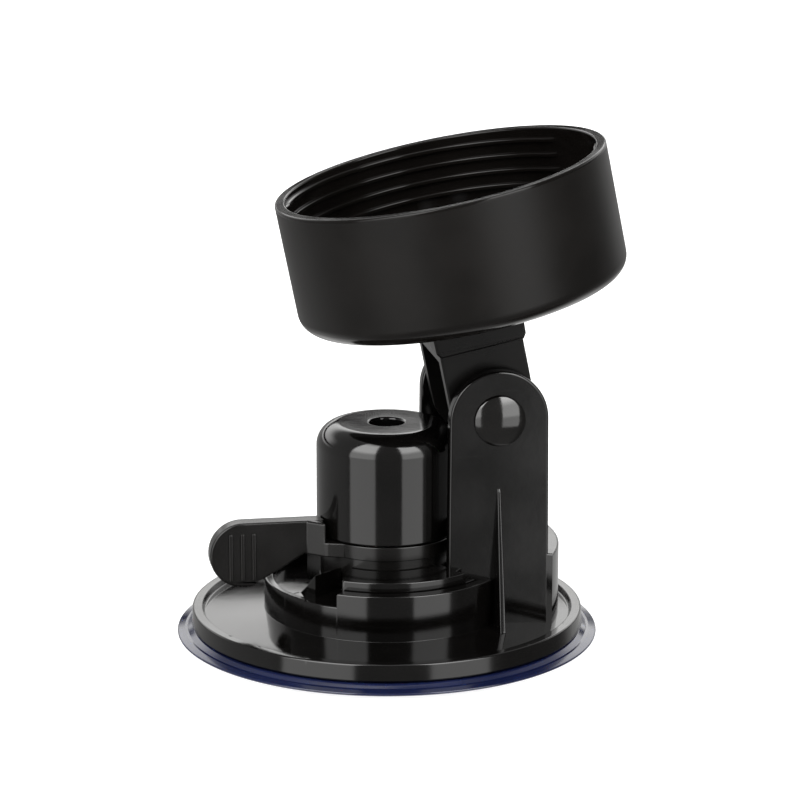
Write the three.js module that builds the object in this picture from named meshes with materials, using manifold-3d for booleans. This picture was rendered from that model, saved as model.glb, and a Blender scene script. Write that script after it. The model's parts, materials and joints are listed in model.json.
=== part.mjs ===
// Suction-cup dashboard mount with a twist-lock lever, a U bracket and a tilting threaded cup.
// Millimetres, +Z up. The origin is the centre of the suction face, the tower axis is Z, the
// ears stand on the +X side, the tilt pivot runs along Y, and the cup tilts towards -X.
import * as THREE from 'three';
import { mergeVertices } from 'three/addons/utils/BufferGeometryUtils.js';
import Module from 'manifold-3d';

const wasm = await Module();
wasm.setup();

// ---- driving dimensions -------------------------------------------------------------------
const GAP = 0.3;                 // clearance between pieces that touch on the real object

const SUCTION_R = 45;            // rim of the suction cup
const MEMBRANE_TOP = 2.6;        // membrane thickness under the base
const POCKET_R = 8.4;            // pocket of the stem flange inside the moulded boss
const POCKET_Z = [3.0, 7.0];
const BOSS_R = 11.5;             // moulded boss in the middle of the suction cup
const BOSS_TOP = 8.4;

const DISC_R = 42;               // base disc
const DISC_Z = 2.95;
const LIP_TOP = 6.6;
const LIP_INNER_R = 39.6;
const FLOOR_OUTER_Z = 5.2;       // the floor inside the lip is a shallow cone
const FLOOR_INNER_Z = 6.2;
const RING1_R = 26.3;            // lower ring of the cam boss
const RING1_TOP = 16;
const RING2_R = 23.2;            // upper ring of the cam boss
const RING2_TOP = 18;
const GROOVE = 0.45;             // little groove between the two rings
const WELL_R = 14.6;             // well that the rotor skirt turns in
const WELL_Z = 10.8;
const CHIMNEY_R = 12.5;          // room under the well for the suction cup's boss
const CHIMNEY_TOP = 8.8;
const GUIDE_R = 7;               // collar that keeps the stem from turning
const GUIDE_TOP = 16.5;

const RAMP_START_DEG = 88;       // the cam ramp climbs slowly from here,
const RAMP_STOP_DEG = 205;       // steeply from here as a stop,
const RAMP_PEAK_DEG = 218.5;     // and is highest here, where it drops into a notch
const NOTCH_END_DEG = 236.3;
const NOTCH_INNER_DEG = 227.4;   // the notch is narrower at the well
const TRACK_R = 24.4;            // outside the ramp a low rim is left standing
const RIM_Z = 13.1;
const RAMP_Z = 11.8;             // height of the slow ramp at 180 degrees
const DROP = 2;                  // the cap sinks this far as the lever is released
const LEVER_TURN_DEG = 50;
const RAMP_PITCH = DROP / LEVER_TURN_DEG;
const LUG_DEG = [141, 158];      // lug of the rotor, with the lever locked
const BACK_TURN_DEG = -120;      // from that lug and its ramp to the second pair

const EAR_OUT = 17;              // outer faces of the ears, either side of the middle
const EAR_T = 3;
const EAR_R = 10.5;              // half width and top radius of an ear
const EAR_DRAFT = 0.35;          // an ear is this much wider at its foot, each side
const PIVOT = new THREE.Vector3(20.8, 0, 50.2);
const RIB_TOP = 36;            // triangular rib on the outside of each ear
const RIB_REACH = 6.6;
const RIB_T = 1.2;
const WALL_R = 36.8;             // arc wall that joins the ears behind
const WALL_T = 2.8;
const WALL_TOP = 20.8;
const WALL_HALF_DEG = 28.6;

const ROTOR_R = 14.65;           // lever ring under the tower cap
const ROTOR_Z = [20, 23.1];
const SKIRT_R = 14.2;
const LEVER_TOP = 27.3;
const LEVER_Y = [-5.7, -1.5];
const PADDLE = { x: -31.8, z: 20.4, r: 7 };
const CAP_R = 15;              // tower cap
const CAP_TOP = 46.7;
const CAP_FILLET = 4.9;
const CAP_HOLE_R = 3.7;
const CAP_WALL = 2.2;
const CAP_BOSS_R = 6.8;          // tube inside the cap that sits on the stem
const SHELF_IN_CAP = [38.8, 41];
const STEM_TOP = 38.5;
const STEM_SQUARE = 8;

const TILT_REST = THREE.MathUtils.degToRad(11.5);
const CUP_RIM = 51;              // rim plane above the pivot, along the cup axis
const CUP_OFFSET = 0.6;          // cup axis beside the pivot
const CUP_R = 35.3;
const CUP_DEPTH = 27.6;
const CUP_CORNER = 3.6;
const CUP_WALL = 2.2;
const CUP_FLOOR = 2.5;
const THREAD_ROWS = 5;
const THREAD_PITCH = 3.3;
const THREAD_FIRST = 2.8;        // first thread row under the rim
const THREAD_H = 1.1;
const FACET_DEG = 7.5;           // the threads follow the facets of the cup wall
const THREAD_SPANS = [[30, 172.5], [210, 352.5]];
const COLLAR_X = 9.9;            // collar of the knuckle under the cup
const COLLAR_Y = 13.4;
const COLLAR_Z = 16;
const ARM_X = 9;
const ARM_Y = 12.6;
const HUB_R = 8.9;
const CHEEK_T = 3;
const BOLT_R = 2.5;
const DOME_R = 5.4;
const DOME_H = 1.5;
const SCREW_AT = [6, 9];         // cup screws, either side of the middle

// ---- shape helpers ------------------------------------------------------------------------
const rad = THREE.MathUtils.degToRad;

function solid(geometry) {
  const bare = geometry.clone();
  for (const name of ['normal', 'uv']) bare.deleteAttribute(name);
  const merged = mergeVertices(bare, 1e-4);
  const p = merged.attributes.position.array;
  const tris = [];
  const source = merged.index.array;
  for (let i = 0; i < source.length; i += 3) {
    const [a, b, c] = [source[i], source[i + 1], source[i + 2]];
    if (a !== b && b !== c && c !== a) tris.push([a, b, c]);
  }
  const at = (k) => new THREE.Vector3(p[3 * k], p[3 * k + 1], p[3 * k + 2]);
  const volume = tris.reduce((sum, [a, b, c]) => sum + at(a).dot(at(b).cross(at(c))), 0);
  const faces = volume < 0 ? tris.map(([a, b, c]) => [a, c, b]) : tris;
  return new wasm.Manifold(new wasm.Mesh({
    numProp: 3,
    vertProperties: Float32Array.from(p),
    triVerts: Uint32Array.from(faces.flat()),
  }));
}

function toGeometry(manifold) {
  const mesh = manifold.getMesh();
  const geometry = new THREE.BufferGeometry();
  geometry.setAttribute('position', new THREE.BufferAttribute(mesh.vertProperties, 3));
  geometry.setIndex(new THREE.BufferAttribute(mesh.triVerts, 1));
  return geometry;
}

const points = (list) => list.map(([x, y]) => new THREE.Vector2(x, y));

// A profile of [radius, z] points turned about Z. It starts and ends on the axis or closes.
function turned(profile, segments = 48) {
  const closed = profile[0][0] > 0 ? [...profile, profile[0]] : profile;
  return solid(new THREE.LatheGeometry(points(closed), segments).rotateX(Math.PI / 2));
}

function arc(cx, cz, r, fromDeg, toDeg, steps) {
  return Array.from({ length: steps + 1 }, (_, i) => {
    const a = rad(fromDeg + ((toDeg - fromDeg) * i) / steps);
    return [cx + r * Math.cos(a), cz + r * Math.sin(a)];
  });
}

function cylinder(r, z0, z1, segments = 32) {
  return turned([[0, z0], [r, z0], [r, z1], [0, z1]], segments);
}

function tube(rIn, rOut, z0, z1, segments = 32) {
  return turned([[rIn, z0], [rOut, z0], [rOut, z1], [rIn, z1]], segments);
}

// A solid turned about Z is laid along Y: its z becomes y.
const alongY = (manifold, x, z) => manifold.rotate([-90, 0, 0]).translate([x, 0, z]);

function box(x, y, z) {
  const g = new THREE.BoxGeometry(x[1] - x[0], y[1] - y[0], z[1] - z[0]);
  return solid(g.translate((x[0] + x[1]) / 2, (y[0] + y[1]) / 2, (z[0] + z[1]) / 2));
}

// An [x, y] outline raised from z0 to z1.
function prism(outline, z0, z1) {
  const g = new THREE.ExtrudeGeometry(new THREE.Shape(points(outline)), {
    depth: z1 - z0, bevelEnabled: false,
  });
  return solid(g.translate(0, 0, z0));
}

// An [x, z] outline carried from y0 to y1.
function plate(outline, y0, y1) {
  const g = new THREE.ExtrudeGeometry(new THREE.Shape(points(outline)), {
    depth: y1 - y0, bevelEnabled: false,
  });
  return solid(g.rotateX(Math.PI / 2).translate(0, y1, 0));
}

// A piece of a ring between two angles, whose bottom and top follow functions of the angle.
function sector(r0, r1, fromDeg, toDeg, bottom, top, steps = 16) {
  const position = [];
  for (let i = 0; i <= steps; i += 1) {
    const deg = fromDeg + ((toDeg - fromDeg) * i) / steps;
    const [c, s] = [Math.cos(rad(deg)), Math.sin(rad(deg))];
    for (const [r, z] of [[r0, bottom(deg)], [r1, bottom(deg)], [r1, top(deg)], [r0, top(deg)]]) {
      position.push(r * c, r * s, z);
    }
  }
  const index = [0, 1, 2, 0, 2, 3];
  for (let i = 0; i < steps; i += 1) {
    for (let k = 0; k < 4; k += 1) {
      const [a, b] = [4 * i + k, 4 * i + ((k + 1) % 4)];
      index.push(a, a + 4, b + 4, a, b + 4, b);
    }
  }
  const e = 4 * steps;
  index.push(e, e + 2, e + 1, e, e + 3, e + 2);
  const g = new THREE.BufferGeometry();
  g.setAttribute('position', new THREE.Float32BufferAttribute(position, 3));
  g.setIndex(index);
  return solid(g);
}

const union = (...list) => list.reduce((sum, part) => sum.add(part));
const cut = (body, ...list) => list.reduce((rest, part) => rest.subtract(part), body);
const flat = (z) => () => z;

// ---- materials ----------------------------------------------------------------------------
const material = (color, roughness, metalness = 0) => () => new THREE.MeshStandardMaterial({
  color, roughness, metalness,
});
const blackAbs = material(0x141415, 0.18);
const satinAbs = material(0x1c1c1e, 0.35);
const suctionPvc = material(0x2a3260, 0.3);
const acetal = material(0xe6e4dc, 0.45);
const zincSteel = material(0x9da2a8, 0.35, 1);
const blackSteel = material(0x1a1a1c, 0.22, 0.6);

const root = new THREE.Group();
const cupGroup = new THREE.Group();
cupGroup.position.copy(PIVOT);
cupGroup.rotation.y = -TILT_REST;
root.add(cupGroup);

function add(name, manifold, paint, parent = root) {
  const mesh = new THREE.Mesh(toGeometry(manifold), paint());
  mesh.name = name;
  parent.add(mesh);
  return mesh;
}

// ---- base ---------------------------------------------------------------------------------
function suctionCup() {
  return turned([
    [0, 0], [40.6, 0], [SUCTION_R - 0.4, 0.9], [SUCTION_R, 1.2], [SUCTION_R - 0.1, 1.6],
    [41, MEMBRANE_TOP],
    [BOSS_R + 0.5, MEMBRANE_TOP], [BOSS_R, BOSS_TOP], [3.6, BOSS_TOP],
    [3.6, POCKET_Z[1]], [POCKET_R, POCKET_Z[1]], [POCKET_R, POCKET_Z[0]], [0, POCKET_Z[0]],
  ], 64);
}

const rampZ = (deg) => RAMP_Z + RAMP_PITCH * (deg - 180);
const hillZ = (deg) => {
  const t = Math.max(0, (deg - RAMP_STOP_DEG) / (RAMP_PEAK_DEG - RAMP_STOP_DEG));
  return rampZ(deg) + (RING2_TOP - rampZ(RAMP_PEAK_DEG)) * t ** 1.3;
};
const turnedBack = (manifold) => manifold.rotate([0, 0, BACK_TURN_DEG]);
const polar = (r, deg) => [r * Math.cos(rad(deg)), r * Math.sin(rad(deg))];

function camBoss() {
  const body = turned([
    [CHIMNEY_R, DISC_Z], [DISC_R, DISC_Z], [DISC_R - 0.3, LIP_TOP - 0.4], [DISC_R - 0.7, LIP_TOP],
    [LIP_INNER_R, LIP_TOP], [LIP_INNER_R - 0.3, FLOOR_OUTER_Z], [RING1_R, FLOOR_INNER_Z],
    [RING1_R, RING1_TOP], [RING2_R + GROOVE, RING1_TOP],
    [RING2_R + GROOVE - 0.1, RING1_TOP - GROOVE], [RING2_R, RING1_TOP - GROOVE],
    [RING2_R, RING2_TOP], [WELL_R, RING2_TOP], [WELL_R, WELL_Z], [GUIDE_R, WELL_Z],
    [GUIDE_R, GUIDE_TOP], [1, GUIDE_TOP], [1, CHIMNEY_TOP], [CHIMNEY_R, CHIMNEY_TOP],
  ], 72);
  const clear = flat(RING2_TOP + 3);
  const [inner, rim] = [WELL_R - 0.2, RING2_R - 0.6];
  const lap = 0.2;
  const outer = RING1_R + 2;
  const ramp = sector(inner, TRACK_R, RAMP_START_DEG, RAMP_STOP_DEG, rampZ, clear, 24);
  const hill = sector(inner, rim + lap, RAMP_STOP_DEG - lap, RAMP_PEAK_DEG, hillZ, clear, 6);
  const low = flat(RIM_Z);
  const outerRim = sector(TRACK_R - lap, outer, RAMP_START_DEG, RAMP_STOP_DEG, low, clear, 24);
  const shelf = sector(rim, outer, RAMP_STOP_DEG - lap, RAMP_PEAK_DEG + lap, low, clear, 6);
  const notch = sector(inner, outer, RAMP_PEAK_DEG, NOTCH_END_DEG, low, clear, 6);
  const wedge = prism([
    polar(WELL_R + 0.15, NOTCH_INNER_DEG), polar(RING2_R, NOTCH_END_DEG - 0.3),
    polar(RING2_R - 0.5, NOTCH_END_DEG + 1), polar(WELL_R + 0.15, NOTCH_END_DEG + 1),
  ], RIM_Z - 1, RING2_TOP);
  const farStep = sector(inner, RING2_R + GROOVE, 305, 398.5, flat(RING1_TOP), clear);
  const backRamp = turnedBack(
    sector(inner, WELL_R + 2.8, RAMP_START_DEG, RAMP_STOP_DEG, rampZ, clear, 20),
  );
  const half = STEM_SQUARE / 2 + GAP;
  const guide = box([-half, half], [-half, half], [CHIMNEY_TOP - 1, GUIDE_TOP + 1]);
  const collarRoom = tube(GUIDE_R, WELL_R - 0.1, WELL_Z, RING2_TOP + 4);
  const cams = cut(body, ramp, outerRim, hill, notch, shelf, farStep, backRamp);
  return cut(union(cams, wedge), guide, collarRoom);
}

function ear(side) {
  const y0 = side < 0 ? -EAR_OUT : EAR_OUT - EAR_T;
  const outline = [
    [PIVOT.x - EAR_R - EAR_DRAFT, 4.5], [PIVOT.x + EAR_R + EAR_DRAFT, 4.5],
    ...arc(PIVOT.x, PIVOT.z, EAR_R, 0, 180, 20),
  ];
  const foot = EAR_OUT + RIB_REACH;
  const rib = solid(new THREE.ExtrudeGeometry(new THREE.Shape(points([
    [EAR_OUT - 0.5, 5], [foot, 5], [foot, 6.3], [EAR_OUT + 0.4, RIB_TOP - 1], [EAR_OUT - 0.5, RIB_TOP],
  ])), { depth: RIB_T, bevelEnabled: false }).rotateX(Math.PI / 2).rotateZ(Math.PI / 2)
    .translate(PIVOT.x - 0.4, 0, 0));
  return union(plate(outline, y0, y0 + EAR_T), side < 0 ? rib.mirror([0, 1, 0]) : rib);
}

function baseHousing() {
  const wall = sector(WALL_R - WALL_T, WALL_R, -WALL_HALF_DEG, WALL_HALF_DEG, flat(4.5),
    flat(WALL_TOP));
  const body = union(camBoss(), ear(-1), ear(1), wall);
  const hole = alongY(cylinder(BOLT_R + GAP, -30, 30, 24), PIVOT.x, PIVOT.z);
  return cut(body, hole, cylinder(CHIMNEY_R, DISC_Z - 2, CHIMNEY_TOP, 40));
}

// ---- lift: stem, cap and their screw ------------------------------------------------------
function stemPost() {
  const half = STEM_SQUARE / 2;
  return cut(union(
    cylinder(POCKET_R - 0.4, POCKET_Z[1] - GAP - 1.4, POCKET_Z[1] - GAP),
    cylinder(3.2, POCKET_Z[1] - 1, BOSS_TOP + DROP + 1, 24),
    box([-half, half], [-half, half], [BOSS_TOP + DROP + GAP, 24]),
    cylinder(4.6, 23, STEM_TOP, 24),
  ), cylinder(1.9, 22, STEM_TOP + 1, 16));
}

function towerCap() {
  const inR = CAP_R - CAP_WALL;
  const ceiling = CAP_TOP - 2.4;
  return turned([
    [CAP_R, ROTOR_Z[1] + GAP],
    ...arc(CAP_R - CAP_FILLET, CAP_TOP - CAP_FILLET, CAP_FILLET, 0, 90, 6),
    [CAP_HOLE_R, CAP_TOP], [CAP_HOLE_R, SHELF_IN_CAP[1]], [2.2, SHELF_IN_CAP[1]],
    [2.2, SHELF_IN_CAP[0]], [5, SHELF_IN_CAP[0]], [5, 25.6], [CAP_BOSS_R, 25.6],
    [CAP_BOSS_R, ceiling], [inR - 2.2, ceiling], [inR, ceiling - 2.2],
    [inR, ROTOR_Z[1] + GAP],
  ]);
}

function panScrew(shankR, headR, headH, length) {
  return turned([
    [0, -length], [shankR * 0.5, -length], [shankR, -length + shankR * 0.8], [shankR, 0],
    [headR, 0], [headR, headH * 0.55], [headR * 0.72, headH], [0, headH],
  ], 20);
}

function crossRecess(size, depth, top) {
  const w = size * 0.16;
  return union(box([-size / 2, size / 2], [-w, w], [top - depth, top + 1]),
    box([-w, w], [-size / 2, size / 2], [top - depth, top + 1]));
}

// ---- lever --------------------------------------------------------------------------------
function leverArm() {
  const { x, z, r } = PADDLE;
  const side = plate([
    [x + 2, z - r], [x + 4.3, z - r + 1.5], [-18.6, ROTOR_Z[0]], [-9, ROTOR_Z[0]],
    [-9, LEVER_TOP], ...arc(x, z, r, 90, 270, 14),
  ], -16, 4);
  const plan = [
    [-46, LEVER_Y[0]], [-19, LEVER_Y[0]], [-17.2, -6.5], [-14.6, -8.7], [-10.6, -10.05],
    [-9, -8], [-9, LEVER_Y[1]], [-46, LEVER_Y[1]],
  ];
  const low = side.intersect(prism(plan, 5, ROTOR_Z[1]));
  const high = side.intersect(prism(plan, ROTOR_Z[1] - 1, 40))
    .subtract(box([-14.6, 0], [-20, 10], [ROTOR_Z[1], 50]))
    .subtract(cylinder(CAP_R + GAP + 0.1, ROTOR_Z[1], 50, 64));
  const grips = [-34.8, -31.9, -29.5].map((gx) => box([gx - 0.45, gx + 0.45],
    [LEVER_Y[0] - 0.5, LEVER_Y[0] + 1], [14.8, 25.2]));
  return union(low, high, ...grips);
}

function leverRotor() {
  const skirtZ = WELL_Z + DROP + GAP + 0.1;
  const [from, to] = LUG_DEG;
  const ring = turned([
    [6.2, 20.9], [SKIRT_R - 2.6, 20.9], [SKIRT_R - 2.6, skirtZ],
    [SKIRT_R, skirtZ], [SKIRT_R, ROTOR_Z[0]], [ROTOR_R, ROTOR_Z[0]],
    [ROTOR_R, ROTOR_Z[1]], [6.2, ROTOR_Z[1]],
  ]);
  const seat = (deg) => rampZ(deg) + GAP;
  const bridge = sector(SKIRT_R - 2, WELL_R + 0.5, from, to, flat(skirtZ), flat(21), 4);
  const foot = (reach) => bridge.add(sector(WELL_R + 0.15, reach, from, to, seat, flat(21), 4));
  const lug = foot(WELL_R + 2.9);
  const backLug = turnedBack(foot(WELL_R + 2.4));
  const arm = cut(leverArm(), cylinder(SKIRT_R - 1, 5, 60, 48));
  return cut(union(ring, lug, backLug, arm), cylinder(SKIRT_R - 2.6, 0, 20.9));
}

// ---- pivot --------------------------------------------------------------------------------
function pivotBolt() {
  const seat = -EAR_OUT - GAP;
  return alongY(turned([
    [0, seat - DOME_H], ...arc(0, seat, 1, -90, 0, 8).slice(1).map(
      ([u, v]) => [u * DOME_R, seat + (v - seat) * DOME_H],
    ),
    [BOLT_R, seat], [BOLT_R, 25.6], [BOLT_R - 0.5, 26.1], [0, 26.1],
  ], 24), PIVOT.x, PIVOT.z);
}

const washer = (rOut, y0, y1) => alongY(tube(BOLT_R + GAP, rOut, y0, y1, 24), PIVOT.x, PIVOT.z);

function pivotNut(y0, y1) {
  const across = 8 / Math.sqrt(3);
  const hex = Array.from({ length: 6 }, (_, i) => [
    across * Math.cos(rad(60 * i)), across * Math.sin(rad(60 * i)),
  ]);
  const collar = cylinder(3.5, y1 - 0.1, y1 + 1, 24);
  const bore = cylinder(BOLT_R + GAP, y0 - 1, y1 + 2, 24);
  return alongY(cut(union(prism(hex, y0, y1), collar), bore), PIVOT.x, PIVOT.z);
}

function springWasher(y0, y1) {
  return cut(washer(4.6, y0, y1), box([PIVOT.x - 0.4, PIVOT.x + 0.4], [y0 - 1, y1 + 1],
    [PIVOT.z, PIVOT.z + 9]));
}

// ---- tilting cup, in its own frame: pivot at the origin, cup axis along z ---------------------
const cupFloor = CUP_RIM - CUP_DEPTH;

function cupShell() {
  const inR = CUP_R - CUP_WALL;
  const floorTop = cupFloor + CUP_FLOOR;
  const shell = turned([
    [0, cupFloor], ...arc(CUP_R - CUP_CORNER, cupFloor + CUP_CORNER, CUP_CORNER, -90, 0, 5),
    [CUP_R, CUP_RIM - 0.4], [CUP_R - 0.4, CUP_RIM], [inR + 0.4, CUP_RIM],
    [inR, CUP_RIM - 0.4], [inR, floorTop + 1.8], [inR - 1.8, floorTop], [0, floorTop],
  ], 360 / FACET_DEG);
  const threads = [];
  for (let row = 0; row < THREAD_ROWS; row += 1) {
    const z = CUP_RIM - THREAD_FIRST - row * THREAD_PITCH;
    for (const [from, to] of THREAD_SPANS) {
      const low = (deg) => z - THREAD_H / 2 + ((deg - from) / 360) * THREAD_PITCH;
      const steps = (to - from) / FACET_DEG;
      threads.push(sector(inR - 0.8, inR + 0.6, from, to, low, (d) => low(d) + THREAD_H, steps));
    }
  }
  const holes = screwPlaces().map(([x, y]) => cylinder(1.8, cupFloor - 1, floorTop + 1, 16)
    .translate([x, y, 0]));
  return cut(union(shell, ...threads), ...holes);
}

function screwPlaces() {
  const [dx, dy] = SCREW_AT;
  return [[-dx, -dy], [dx, -dy], [dx, dy], [-dx, dy]].map(([x, y]) => [x - CUP_OFFSET, y]);
}

function cupKnuckle() {
  const top = cupFloor - GAP;
  const collar = plate([
    [-COLLAR_X, top], [COLLAR_X, top], [COLLAR_X - 0.2, COLLAR_Z],
    [ARM_X, COLLAR_Z - 1.1], [-ARM_X, COLLAR_Z - 1.1], [0.2 - COLLAR_X, COLLAR_Z],
  ], -COLLAR_Y, COLLAR_Y);
  const arm = plate([
    [ARM_X, COLLAR_Z], [-ARM_X, COLLAR_Z], ...arc(0, 0, HUB_R, 180, 360, 18),
  ], -ARM_Y, ARM_Y);
  const inner = ARM_Y - CHEEK_T;
  const hollow = box([-12, 12], [-inner, inner], [-12, COLLAR_Z - 2.6]);
  const web = box([-1.6, 1.6], [-inner - 0.5, inner + 0.5], [2, COLLAR_Z - 1]);
  const hub = alongY(cylinder(6, -inner - 1, inner + 1, 24), 0, 0);
  const bore = alongY(cylinder(3.9, -20, 20, 24), 0, 0);
  const pilots = screwPlaces().map(([x, y]) => cylinder(1.5, 17, top + 1, 16)
    .translate([x, y, 0]));
  const body = union(cut(arm, hollow), web, hub, collar);
  return cut(body, bore, ...pilots.map((p) => p.translate([CUP_OFFSET, 0, 0])));
}

// ---- assembly -----------------------------------------------------------------------------
add('suction_cup', suctionCup(), suctionPvc);
add('base_housing', baseHousing(), blackAbs);
add('stem_post', stemPost(), acetal);
add('tower_cap', towerCap(), blackAbs);
add('thrust_washer', tube(7.2, 11.8, ROTOR_Z[1] + GAP, ROTOR_Z[1] + GAP + 1.2), acetal);
add('screw_washer', tube(2, 3.4, SHELF_IN_CAP[1] + GAP, SHELF_IN_CAP[1] + 0.9, 24), zincSteel);
add('stem_screw', cut(panScrew(1.6, 3.3, 2.2, 15), crossRecess(3.4, 1.2, 2.2))
  .translate([0, 0, SHELF_IN_CAP[1] + 1.2]), zincSteel);
add('lever_rotor', leverRotor(), blackAbs);

add('pivot_bolt', pivotBolt(), blackSteel);
add('pivot_washer', washer(5.5, EAR_OUT + GAP, EAR_OUT + GAP + 1), zincSteel);
add('pivot_spring_washer', springWasher(EAR_OUT + 1.6, EAR_OUT + 2.8), zincSteel);
add('pivot_nut', pivotNut(EAR_OUT + 3.1, EAR_OUT + 7), zincSteel);
const frictionGap = EAR_OUT - EAR_T - GAP;
add('friction_washer_near', washer(7.4, -frictionGap, ARM_Y * -1 - GAP), acetal);
add('friction_washer_far', washer(7.4, ARM_Y + GAP, frictionGap), acetal);

add('pivot_bush', alongY(tube(BOLT_R + GAP, 3.6, -ARM_Y, ARM_Y, 24), 0, 0), acetal, cupGroup);
add('cup_knuckle', cupKnuckle(), satinAbs, cupGroup);
add('cup_shell', cupShell(), blackAbs, cupGroup).position.x = CUP_OFFSET;
screwPlaces().forEach(([x, y], i) => {
  const screw = cut(panScrew(1.2, 2.8, 1.8, 8.6), crossRecess(3, 1, 1.8));
  add(`cup_screw_${i + 1}`, screw, zincSteel, cupGroup)
    .position.set(x + CUP_OFFSET, y, cupFloor + CUP_FLOOR + GAP);
});

export default root;
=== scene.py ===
import json
import math

import bmesh
import bpy
from mathutils import Matrix, Vector


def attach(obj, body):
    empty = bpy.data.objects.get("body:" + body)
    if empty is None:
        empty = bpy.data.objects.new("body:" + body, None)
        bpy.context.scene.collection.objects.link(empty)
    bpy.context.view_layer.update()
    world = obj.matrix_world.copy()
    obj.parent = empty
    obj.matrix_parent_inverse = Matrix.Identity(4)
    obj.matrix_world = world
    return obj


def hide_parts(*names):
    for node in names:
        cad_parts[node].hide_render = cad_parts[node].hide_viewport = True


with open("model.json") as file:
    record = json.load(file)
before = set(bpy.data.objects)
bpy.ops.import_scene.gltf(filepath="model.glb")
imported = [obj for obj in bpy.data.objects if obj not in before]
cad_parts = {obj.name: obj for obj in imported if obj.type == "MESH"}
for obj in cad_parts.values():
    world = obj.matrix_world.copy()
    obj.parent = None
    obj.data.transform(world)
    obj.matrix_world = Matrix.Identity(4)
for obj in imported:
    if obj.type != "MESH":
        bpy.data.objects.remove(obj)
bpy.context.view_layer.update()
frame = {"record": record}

# Lengths are in millimetres up to the point where a mesh is made, and metres after that.
MM = 0.001
SEGMENTS = 192
rad = math.radians

# ---- dimensions, as in the CAD ----------------------------------------------------------------
GAP = 0.3
SUCTION_R, SUCTION_Z, MEMBRANE_Z = 45.0, 1.2, 2.6
DISC_R, DISC_Z, LIP_TOP, LIP_INNER_R = 42.0, 2.95, 6.6, 39.6
FLOOR_OUTER_Z, FLOOR_INNER_Z = 5.2, 6.2
RING1_R, RING1_TOP = 26.3, 16.0
RING2_R, RING2_TOP, GROOVE = 23.2, 18.0, 0.45
WELL_R, WELL_Z = 14.6, 10.8
GUIDE_R, GUIDE_TOP = 7.0, 16.5
CHIMNEY_R, CHIMNEY_TOP = 12.5, 8.8
RAMP_DEG = (88.0, 205.0)
PEAK_DEG, NOTCH_END_DEG, NOTCH_INNER_DEG = 218.5, 236.3, 227.4
STEP_DEG = (305.0, 398.5)
SEAM_DEG = STEP_DEG[1] - 360
TRACK_R, RIM_Z = 24.4, 13.1
TRACK_INNER_R, BACK_TRACK_R = RING2_R - 0.4, WELL_R + 2.8
LUG_DEG, BACK_TURN_DEG = (141.0, 158.0), -120.0
RAMP_Z, RAMP_PITCH = 11.8, 0.04
SQUARE = 4.0
EAR_OUT, EAR_T, EAR_R, EAR_DRAFT = 17.0, 3.0, 10.5, 0.35
PIVOT = (20.8, 0.0, 50.2)
WALL_R, WALL_T, WALL_TOP, WALL_HALF_DEG = 36.8, 2.8, 20.8, 28.6
ROTOR_R, SKIRT_R, ROTOR_Z = 14.65, 14.2, (20.0, 23.1)
LEVER_TOP = 27.3
CAP_R, CAP_TOP, CAP_FILLET, CAP_BOTTOM, CAP_WALL, HEAD_SEAT_Z = 15.0, 46.7, 4.9, 23.4, 2.2, 41.0
CUP_R, CUP_RIM, CUP_DEPTH, CUP_OFFSET, CUP_WALL, CUP_FLOOR = 35.3, 51.0, 27.6, 0.6, 2.2, 2.5
KNUCKLE_Y, BUSH_R = 12.6, 3.6
TILT_REST = rad(11.5)
BOLT_R = 2.5
THREAD_SPANS = ((30.0, 172.5), (210.0, 352.5))
THREAD_FIRST, THREAD_PITCH, THREAD_ROWS = 2.8, 3.3, 5
FLOOR_Z = CUP_RIM - CUP_DEPTH
CUP_FRAME = Matrix.Translation(Vector(PIVOT) * MM) @ Matrix.Rotation(-TILT_REST, 4, "Y")


# ---- outlines ---------------------------------------------------------------------------------
def fillet(corners, steps=4):
    """A closed outline of (a, b, radius) corners. A corner that has a radius becomes an arc."""
    out = []
    for i, (a, b, r) in enumerate(corners):
        here = Vector((a, b))
        back = Vector(corners[i - 1][:2]) - here
        ahead = Vector(corners[(i + 1) % len(corners)][:2]) - here
        if r <= 0:
            out.append((a, b))
            continue
        half = back.angle(ahead) / 2
        reach = min(r / math.tan(half), 0.49 * back.length, 0.49 * ahead.length)
        r = reach * math.tan(half)
        u, v = back.normalized(), ahead.normalized()
        centre = here + (u + v).normalized() * (r / math.sin(half))
        start, end = here + u * reach - centre, here + v * reach - centre
        first = math.atan2(start.y, start.x)
        sweep = (math.atan2(end.y, end.x) - first + math.pi) % (2 * math.pi) - math.pi
        for k in range(steps + 1):
            t = first + sweep * k / steps
            out.append((centre.x + r * math.cos(t), centre.y + r * math.sin(t)))
    return out


def arc(ca, cb, r, start, end, steps):
    """Points of an arc, in degrees."""
    angles = [rad(start + (end - start) * k / steps) for k in range(steps + 1)]
    return [(ca + r * math.cos(t), cb + r * math.sin(t)) for t in angles]


def polar(r, deg):
    return r * math.cos(rad(deg)), r * math.sin(rad(deg))


def inset(outline, distance):
    """The outline moved inwards. It turns anticlockwise."""
    out = []
    for i, here in enumerate(outline):
        a = (Vector(here) - Vector(outline[i - 1])).normalized()
        b = (Vector(outline[(i + 1) % len(outline)]) - Vector(here)).normalized()
        n1, n2 = Vector((-a.y, a.x)), Vector((-b.y, b.x))
        out.append(Vector(here) + (n1 + n2) * (distance / max(0.2, 1 + n1.dot(n2))))
    return out


def anticlockwise(outline):
    pairs = zip(outline, [*outline[1:], outline[0]])
    area = sum(p[0] * q[1] - q[0] * p[1] for p, q in pairs)
    return list(outline) if area > 0 else list(reversed(outline))


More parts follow.
